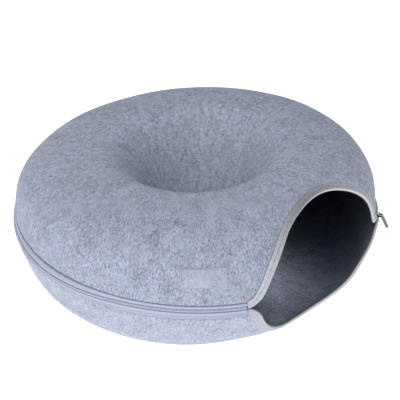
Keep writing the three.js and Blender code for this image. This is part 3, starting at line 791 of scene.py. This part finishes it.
# Tape, threads and metal
TAPE_DIRT = ((1, 1, 1), 240, 3.0, 0.6)
RIB_SHARE = 0.35
DIRT_SHARE = 0.65
TAPE_TONE = (0.25, 0.75, 0, 1)
# Painted highlight along the tape's fold
FOLD_HIGHLIGHT_SPAN = (0.0002, 0.0011, 1, 0)
# Painted shade on the fold's inner side: its span, and its share of the shade colour
INNER_SHADE_SPAN = (0.0001, -0.0007, 0, 0.9)
INNER_SHADE_SHARE = 0.3
# Painted shadow lines: where they break, their core and their shade
SEAM_BREAKS = ((1, 0.2, 1), 300, 2.0, 0.5)
SEAM_BREAK_SPAN = (0.38, 0.58)
SEAM_CORE = 0.4
SEAM_SHADE = 0.22
TWIST = ((1, 1, 1), 900, 2.0, 0.6)
TWIST_SPAN = (0.3, 0.7, 0, 1)
SCUFFS = ((1, 1, 1), 500, 3.0, 0.6)
SCUFF_SPAN = (0.45, 0.75, 0, 1)
SCUFF_ROUGH_SPAN = (0.3, 0.7)
SMOOTHER = 0.08
ROUGHER = 0.12


# Materials
def new_material(name):
    material = bpy.data.materials.new(name)
    material.use_nodes = True
    tree = material.node_tree
    return material, tree, tree.nodes["Principled BSDF"]


def add(tree, kind, inputs=None, **settings):
    node = tree.nodes.new(kind)
    for key, value in settings.items():
        setattr(node, key, value)
    for key, value in (inputs or {}).items():
        if isinstance(value, bpy.types.NodeSocket):
            tree.links.new(value, node.inputs[key])
        else:
            node.inputs[key].default_value = value
    return node


def noise(tree, vector, stretch, scale, detail=2.0, roughness=0.6, distortion=0.0):
    placed = add(tree, "ShaderNodeMapping", {"Vector": vector, "Scale": stretch})
    sizes = {"Scale": scale, "Detail": detail, "Roughness": roughness, "Distortion": distortion}
    texture = add(tree, "ShaderNodeTexNoise", {"Vector": placed.outputs["Vector"], **sizes})
    return texture.outputs["Fac"]


def ranged(tree, value, low, high, to_low, to_high, smooth=False):
    node = add(
        tree,
        "ShaderNodeMapRange",
        {"Value": value, "From Min": low, "From Max": high, "To Min": to_low, "To Max": to_high},
        interpolation_type="SMOOTHSTEP" if smooth else "LINEAR",
    )
    return node.outputs["Result"]


def math_node(tree, operation, a, b=0.0):
    return add(tree, "ShaderNodeMath", {0: a, 1: b}, operation=operation).outputs[0]


def times(tree, a, b):
    return math_node(tree, "MULTIPLY", a, b)


def plus(tree, a, b):
    return math_node(tree, "ADD", a, b)


def away_from(tree, value, middle):
    return math_node(tree, "ABSOLUTE", math_node(tree, "SUBTRACT", value, middle))


def mixed(tree, factor, a, b, blend="MIX"):
    node = add(tree, "ShaderNodeMix", data_type="RGBA", blend_type=blend)
    for key, value in ((0, factor), (6, a), (7, b)):
        if isinstance(value, bpy.types.NodeSocket):
            tree.links.new(value, node.inputs[key])
        else:
            node.inputs[key].default_value = value
    return node.outputs[2]


def mixed_value(tree, factor, a, b):
    node = add(tree, "ShaderNodeMix", {0: factor, 2: a, 3: b}, data_type="FLOAT")
    return node.outputs[0]


# Thin curved fibres: narrow bands where a noise crosses its middle, kept only in patches
def strands(tree, vector, stretch, scale, width, start):
    lines = noise(tree, vector, stretch, scale, *STRAND_NOISE)
    thin = ranged(tree, away_from(tree, lines, STRAND_MIDDLE), width / 3, width, 1, 0, True)
    patches = noise(tree, vector, (1, 1, 1), scale * STRAND_PATCH, *STRAND_NOISE[:2])
    kept = ranged(tree, patches, start, start + STRAND_FADE, 0, 1, True)
    return times(tree, thin, kept)


# How far a place lies along a way
def along(tree, place, way):
    dot = add(tree, "ShaderNodeVectorMath", {0: place, 1: way}, operation="DOT_PRODUCT")
    return dot.outputs["Value"]


def scaled(colour, share):
    return tuple(share * channel for channel in colour[:3]) + (1,)


# Painted light: how far the daylight that comes in by the mouth reaches over the tunnel's floor and wall, as
# a colour that scales the felt's
def painted_daylight(tree, place):
    across = along(tree, place, ACROSS_WAY)
    depth = along(tree, place, DEPTH_WAY)
    height = along(tree, place, (0, 0, 1))
    past = math_node(tree, "DIVIDE", math_node(tree, "SUBTRACT", DAYLIGHT_EDGE, across), DAYLIGHT_FADE)
    spread = math_node(tree, "MINIMUM", math_node(tree, "EXPONENT", past), DAYLIGHT_MOST)
    near = ranged(tree, depth, *DAYLIGHT_NEAR, True)
    far = ranged(tree, depth, *DAYLIGHT_FAR, True)
    reach = times(tree, times(tree, spread, times(tree, near, far)), DAYLIGHT)
    squares = [times(tree, side, side) for side in (across, depth)]
    radius = math_node(tree, "SQRT", plus(tree, *squares))
    reach = times(tree, reach, ranged(tree, radius, *DIP_WALL_SPAN, True))
    rim = times(tree, ranged(tree, across, *RIM_ACROSS), ranged(tree, height, *RIM_TOP))
    rim = times(tree, rim, ranged(tree, height, *RIM_FOOT))
    lip = times(tree, ranged(tree, across, *LIP_ACROSS), ranged(tree, depth, *LIP_DEPTH))
    reach = plus(tree, plus(tree, reach, rim), lip)
    channels = [plus(tree, reach, least) for least in LEAST_LIGHT]
    return add(tree, "ShaderNodeCombineColor", dict(enumerate(channels))).outputs[0]


# Heathered felt: fine fibres that run upright on the front, thin dark and pale strands, cloudy patches.
# Inside, painted daylight scales it; outside, painted shade can darken it towards the zip
def felt_material(name, colour, spread, inside=False, edge_shade=1.0):
    material, tree, shader = new_material(name)
    fibre = add(tree, "ShaderNodeAttribute", attribute_name="fibre").outputs["Vector"]
    place = add(tree, "ShaderNodeTexCoord").outputs["Object"]
    front = ranged(tree, along(tree, place, FRONT_WAY), *FRONT_SPAN, True)
    upright = ranged(tree, noise(tree, fibre, *UPRIGHT_GRAIN), *UPRIGHT_SPAN)
    level = ranged(tree, noise(tree, place, *LEVEL_GRAIN), *LEVEL_SPAN)
    grain = mixed_value(tree, front, level, upright)
    cloud = noise(tree, fibre, *CLOUDS)
    both = plus(tree, times(tree, grain, GRAIN_SHARE), times(tree, cloud, CLOUD_SHARE))
    tone = ranged(tree, both, *FELT_TONE)
    final = mixed(tree, tone, scaled(colour, 1 - FELT_DARK * spread), scaled(colour, 1 + FELT_PALE * spread))
    for *kind, strength, share in STRANDS:
        drawn = times(tree, strands(tree, fibre, *kind), strength)
        final = mixed(tree, drawn, final, scaled(colour, share))
    hue = ranged(tree, noise(tree, fibre, *HUES), *HUE_SPAN)
    final = mixed(tree, 1.0, final, mixed(tree, hue, *HUE_ENDS), "MULTIPLY")
    # Painted light and shade inside the tunnel, by place
    if inside:
        final = mixed(tree, 1.0, final, painted_daylight(tree, place), "MULTIPLY")
    # Painted shade: the felt darkens towards the zip's edge
    if edge_shade < 1:
        height = add(tree, "ShaderNodeSeparateXYZ", {0: fibre}).outputs["Z"]
        shade = ranged(tree, height, *EDGE_SHADE_REACH, 1 - edge_shade, 0, True)
        final = mixed(tree, shade, final, BLACK)
        hollow = ranged(tree, height, *HOLLOW_SPAN, True)
        final = mixed(tree, hollow, final, HOLLOW_TINT, "MULTIPLY")
    tree.links.new(final, shader.inputs["Base Color"])
    shader.inputs["Roughness"].default_value = 0.95
    shader.inputs["Specular IOR Level"].default_value = 0.15
    shader.inputs["Sheen Weight"].default_value = 0.12
    shader.inputs["Sheen Roughness"].default_value = 0.6
    bump = add(tree, "ShaderNodeBump", {"Height": both, "Strength": 0.3, "Distance": 0.0012})
    tree.links.new(bump.outputs["Normal"], shader.inputs["Normal"])
    return material


# Woven tape: fine ribs with a slight fade, painted shade over one stretch of its length, a painted highlight
# where it folds, painted shade on the fold's inner side, and painted shadow lines in the grooves and gaps
# along its seams
# Each shadow line: where it lies across the tape, how wide it is, how dark, and its least share where it
# fades
# A painted shade stretch: where it lies along the tape, how far it reaches and how much it takes away
def tape_material(name, colour, shade, rib, fold=None, shadow_lines=(), painted_shade_stretch=None):
    material, tree, shader = new_material(name)
    weave = add(tree, "ShaderNodeAttribute", attribute_name="weave").outputs["Vector"]
    ribs = add(
        tree,
        "ShaderNodeTexWave",
        {"Vector": weave, "Scale": rib, "Distortion": 1.2, "Detail": 1.0},
        bands_direction="DIAGONAL",
    ).outputs["Fac"]
    dirt = noise(tree, weave, *TAPE_DIRT)
    both = plus(tree, times(tree, ribs, RIB_SHARE), times(tree, dirt, DIRT_SHARE))
    tone = ranged(tree, both, *TAPE_TONE)
    final = mixed(tree, tone, shade, colour)
    parts = add(tree, "ShaderNodeSeparateXYZ", {0: weave}).outputs
    across = parts["Y"]
    # Painted shade over one stretch of the tape's length
    if painted_shade_stretch is not None:
        place, reach, dark = painted_shade_stretch
        away = away_from(tree, parts["X"], place)
        final = mixed(tree, ranged(tree, away, 0, reach, dark, 0, True), final, BLACK)
    if fold is not None:
        # Painted highlight along the fold
        folded = ranged(tree, math_node(tree, "ABSOLUTE", across), *FOLD_HIGHLIGHT_SPAN, True)
        final = mixed(tree, folded, final, fold)
        # Painted shade on the fold's inner side
        inner_shade = ranged(tree, across, *INNER_SHADE_SPAN, True)
        final = mixed(tree, inner_shade, final, scaled(shade, INNER_SHADE_SHARE))
    # Painted shadow lines in the grooves and gaps along the tape
    broken = noise(tree, weave, *SEAM_BREAKS)
    for place, width, dark, least in shadow_lines:
        line = ranged(tree, away_from(tree, across, place), width * SEAM_CORE, width, dark, 0, True)
        line = times(tree, line, ranged(tree, broken, *SEAM_BREAK_SPAN, least, 1))
        final = mixed(tree, line, final, scaled(shade, SEAM_SHADE))
    tree.links.new(final, shader.inputs["Base Color"])
    shader.inputs["Roughness"].default_value = 0.85
    shader.inputs["Specular IOR Level"].default_value = 0.25
    shader.inputs["Sheen Weight"].default_value = 0.1
    bump = add(tree, "ShaderNodeBump", {"Height": both, "Strength": 0.3, "Distance": 0.0004})
    tree.links.new(bump.outputs["Normal"], shader.inputs["Normal"])
    return material


def thread_material(name, colour, shade):
    material, tree, shader = new_material(name)
    place = add(tree, "ShaderNodeTexCoord").outputs["Object"]
    twist = noise(tree, place, *TWIST)
    final = mixed(tree, ranged(tree, twist, *TWIST_SPAN), shade, colour)
    tree.links.new(final, shader.inputs["Base Color"])
    shader.inputs["Roughness"].default_value = 0.7
    return material


def metal_material(name, colour, worn, roughness):
    material, tree, shader = new_material(name)
    place = add(tree, "ShaderNodeTexCoord").outputs["Object"]
    scuffs = noise(tree, place, *SCUFFS)
    final = mixed(tree, ranged(tree, scuffs, *SCUFF_SPAN), colour, worn)
    tree.links.new(final, shader.inputs["Base Color"])
    shader.inputs["Metallic"].default_value = 0.9
    rough = ranged(tree, scuffs, *SCUFF_ROUGH_SPAN, roughness - SMOOTHER, roughness + ROUGHER)
    tree.links.new(rough, shader.inputs["Roughness"])
    return material


# The dome's felt, with painted shade towards the zip
FELT_OUT = felt_material("felt_outside", (0.394, 0.433, 0.556, 1), 0.7, False, 0.91)
# The pan is the same felt painted a little paler: painted light from the glowing floor
FELT_PAN = felt_material("felt_pan", (0.41, 0.443, 0.563, 1), 0.6)
# The inside felt is darker, partly its own tone and partly painted shade; painted daylight brightens it by
# the mouth
FELT_IN = felt_material("felt_inside", (0.134, 0.146, 0.168, 1), 1.0, True)
PATCH = felt_material("patch_cloth", (0.43, 0.465, 0.59, 1), 0.34)
ARCH_TAPE = tape_material(
    "arch_tape",
    (0.68, 0.70, 0.755, 1),
    (0.40, 0.415, 0.455, 1),
    500,
    # Painted highlight colour for the fold
    (0.74, 0.75, 0.77, 1),
    # Painted shadow lines at the tape's border and its stitches
    ((0.0107, 0.0009, 0.85, 0.3), (ARCH_STITCH * MM, 0.0007, 0.45, 0.2)),
    # Painted shade over the arch's top
    (0.195, 0.14, 0.42),
)
LIP_TAPE = tape_material(
    "lip_tape",
    (0.575, 0.575, 0.66, 1),
    (0.455, 0.46, 0.54, 1),
    500,
    # Painted highlight colour for the fold
    (0.74, 0.72, 0.77, 1),
    # Painted shadow lines at the stitches
    tuple((width * MM, 0.0006, 0.4, 0.2) for width in LIP_STITCHES),
)
ZIP_TAPE = tape_material(
    "zip_tape",
    (0.49, 0.53, 0.685, 1),
    (0.39, 0.425, 0.56, 1),
    420,
    # Painted shadow line under the felt's edge
    shadow_lines=((0.1144, 0.0019, 0.66, 0.75),),
)
LOW_TAPE = tape_material(
    "zip_tape_low",
    (0.52, 0.555, 0.715, 1),
    (0.42, 0.455, 0.595, 1),
    420,
    # Painted shadow lines at the stitches and under the coil
    shadow_lines=((TAPE_STITCH_HEIGHT * MM, 0.0007, 0.3, 0.2), (0.1028, 0.0009, 0.4, 0.8)),
)
COIL = tape_material("zip_coil_nylon", (0.46, 0.495, 0.635, 1), (0.36, 0.395, 0.52, 1), 300)
THREAD_GREY = thread_material("thread_grey", (0.33, 0.34, 0.37, 1), (0.22, 0.23, 0.26, 1))
THREAD_PALE = thread_material("thread_pale", (0.5, 0.5, 0.56, 1), (0.38, 0.38, 0.44, 1))
SLIDER_METAL = metal_material("slider_metal", (0.012, 0.012, 0.014, 1), (0.05, 0.05, 0.055, 1), 0.4)
PULL_METAL = metal_material("pull_metal", (0.13, 0.125, 0.1, 1), (0.36, 0.35, 0.3, 1), 0.3)


# Each piece rides the root. It takes the place of a CAD node, if one is named
def dress(piece, node):
    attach(piece, "root")
    if node:
        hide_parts(node)
    return piece


upper = dress(upper_felt([FELT_OUT, FELT_IN]), "upper_shell")
lower = dress(lower_felt([FELT_PAN, FELT_IN]), "lower_shell")

corner_rows = UPPER_CORNER_LEFT * (1 - np.cos(np.linspace(0, CORNER_TURN, CORNER_ROWS)))
arch_rows = np.concatenate([corner_rows + SEAM_UPPER - UPPER_EDGE, eased(0, ARCH_RISE, BINDING_ROWS)])
arch_path = edge_path(upper_point, arch_edge, np.unique(arch_rows))
lip_rows = distance_at_height(eased(PAN_EDGE, LIP_HEIGHT, BINDING_ROWS))
lip_rows = np.concatenate([corner_rows + PAN_EDGE - SEAM_LOWER, lip_rows])
lip_path = edge_path(lower_point, lip_edge, np.unique(lip_rows))

arch_tape = dress(
    folded_tape("arch_binding", upper_point, arch_path, ARCH_INNER, [ARCH_TAPE], ARCH_STAND),
    "mouth_binding_upper",
)
lip_tape = dress(
    folded_tape("lip_binding", lower_point, lip_path, LIP_INNER, [LIP_TAPE]),
    "mouth_binding_lower",
)
arch_thread = dress(
    edge_threads("arch_stitches", upper_point, arch_path, ARCH_STITCH, THREAD_GREY), None
)
lip_threads = [
    dress(edge_threads(f"lip_stitches_{i}", lower_point, lip_path, width, THREAD_PALE), None)
    for i, width in enumerate(LIP_STITCHES)
]

upper_band = dress(upper_tape([ZIP_TAPE]), "zip_tape_upper")
lower_band = dress(lower_tape([LOW_TAPE]), "zip_tape_lower")
band_thread = dress(tape_threads(THREAD_PALE), None)
dress(zip_coil([COIL]), "zip_chain")
patch = dress(sewn_patch([PATCH]), "label_patch")
patch_thread = dress(patch_threads(THREAD_GREY), None)
dress(metal_piece("slider_body", "zip_slider", SLIDER_METAL, SLIDER_EDGE), "zip_slider")
dress(metal_piece("pull_tab", "zip_pull", PULL_METAL, PULL_EDGE), "zip_pull")


# Camera at the photo's angle
CAMERA_TARGET = Vector((0, 0, 0.1139))
CAMERA_DISTANCE = 1.5
CAMERA_AZIMUTH = math.radians(-45)
CAMERA_ELEVATION = math.radians(31.9)
CAMERA_ROLL = math.radians(0.8)
CAMERA_SENSOR = 36
CAMERA_LENS = 79.37
CAMERA_SHIFT = (0.0114, -0.0150)
CAMERA_CLIP = (0.05, 200)


# A way that points from the part towards an azimuth and elevation
def direction(azimuth, elevation):
    level = math.cos(elevation)
    return Vector((math.sin(azimuth) * level, -math.cos(azimuth) * level, math.sin(elevation)))


camera_data = bpy.data.cameras.new("camera")
camera = bpy.data.objects.new("camera", camera_data)
bpy.context.scene.collection.objects.link(camera)
back = direction(CAMERA_AZIMUTH, CAMERA_ELEVATION)
camera.location = CAMERA_TARGET + back * CAMERA_DISTANCE
camera.rotation_mode = "QUATERNION"
camera.rotation_quaternion = (-back).to_track_quat("-Z", "Y") @ Quaternion((0, 0, 1), CAMERA_ROLL)
camera_data.sensor_width = CAMERA_SENSOR
camera_data.lens = CAMERA_LENS
camera_data.shift_x, camera_data.shift_y = CAMERA_SHIFT
camera_data.clip_start, camera_data.clip_end = CAMERA_CLIP
bpy.context.scene.camera = camera

# White floor that glows a little, so that it reads as paper with the light all round
FLOOR_REACH = 40
FLOOR_GLOW = 1.356
FLOOR_CORNERS = ((-1, -1), (1, -1), (1, 1), (-1, 1))
floor_mesh = bpy.data.meshes.new("floor")
floor_mesh.from_pydata([(x * FLOOR_REACH, y * FLOOR_REACH, 0) for x, y in FLOOR_CORNERS], [], [(0, 1, 2, 3)])
floor = bpy.data.objects.new("floor", floor_mesh)
bpy.context.scene.collection.objects.link(floor)
floor_material, _, floor_shader = new_material("floor_paper")
floor_shader.inputs["Base Color"].default_value = (0.1, 0.1, 0.1, 1)
floor_shader.inputs["Roughness"].default_value = 1.0
floor_shader.inputs["Specular IOR Level"].default_value = 0.0
floor_shader.inputs["Emission Color"].default_value = (1, 1, 1, 1)
floor_shader.inputs["Emission Strength"].default_value = FLOOR_GLOW
floor_mesh.materials.append(floor_material)

# Soft light: a pale room that is white along the floor and dim overhead, and large soft boxes round the part
# Each box: its name, its azimuth and elevation in degrees, and its power
ROOM_SPAN = (0, 0.1, 1.2, 0.132)
BOXES = (
    ("front_box", -45, 50, 23.7),
    ("left_high_box", -90, 50, 13.4),
    ("left_low_box", -90, 15, 7.6),
    ("back_box", 135, 60, 12.0),
)
BOX_TARGET = Vector((0, 0, 0.1))
BOX_DISTANCE = 2.6
BOX_SIZE = 2.0

world = bpy.data.worlds.new("room")
bpy.context.scene.world = world
world.use_nodes = True
room = world.node_tree
background = room.nodes["Background"]
background.inputs["Color"].default_value = (1, 1, 1, 1)
level = along(room, add(room, "ShaderNodeTexCoord").outputs["Generated"], (0, 0, 1))
room.links.new(ranged(room, level, *ROOM_SPAN, True), background.inputs["Strength"])


def soft_box(name, azimuth, elevation, power):
    data = bpy.data.lights.new(name, "AREA")
    data.shape = "DISK"
    data.size = BOX_SIZE
    data.energy = power
    lamp = bpy.data.objects.new(name, data)
    bpy.context.scene.collection.objects.link(lamp)
    way = direction(math.radians(azimuth), math.radians(elevation))
    lamp.location = BOX_TARGET + way * BOX_DISTANCE
    lamp.rotation_mode = "QUATERNION"
    lamp.rotation_quaternion = (-way).to_track_quat("-Z", "Y")


for box in BOXES:
    soft_box(*box)

bpy.context.scene.view_settings.view_transform = "Standard"
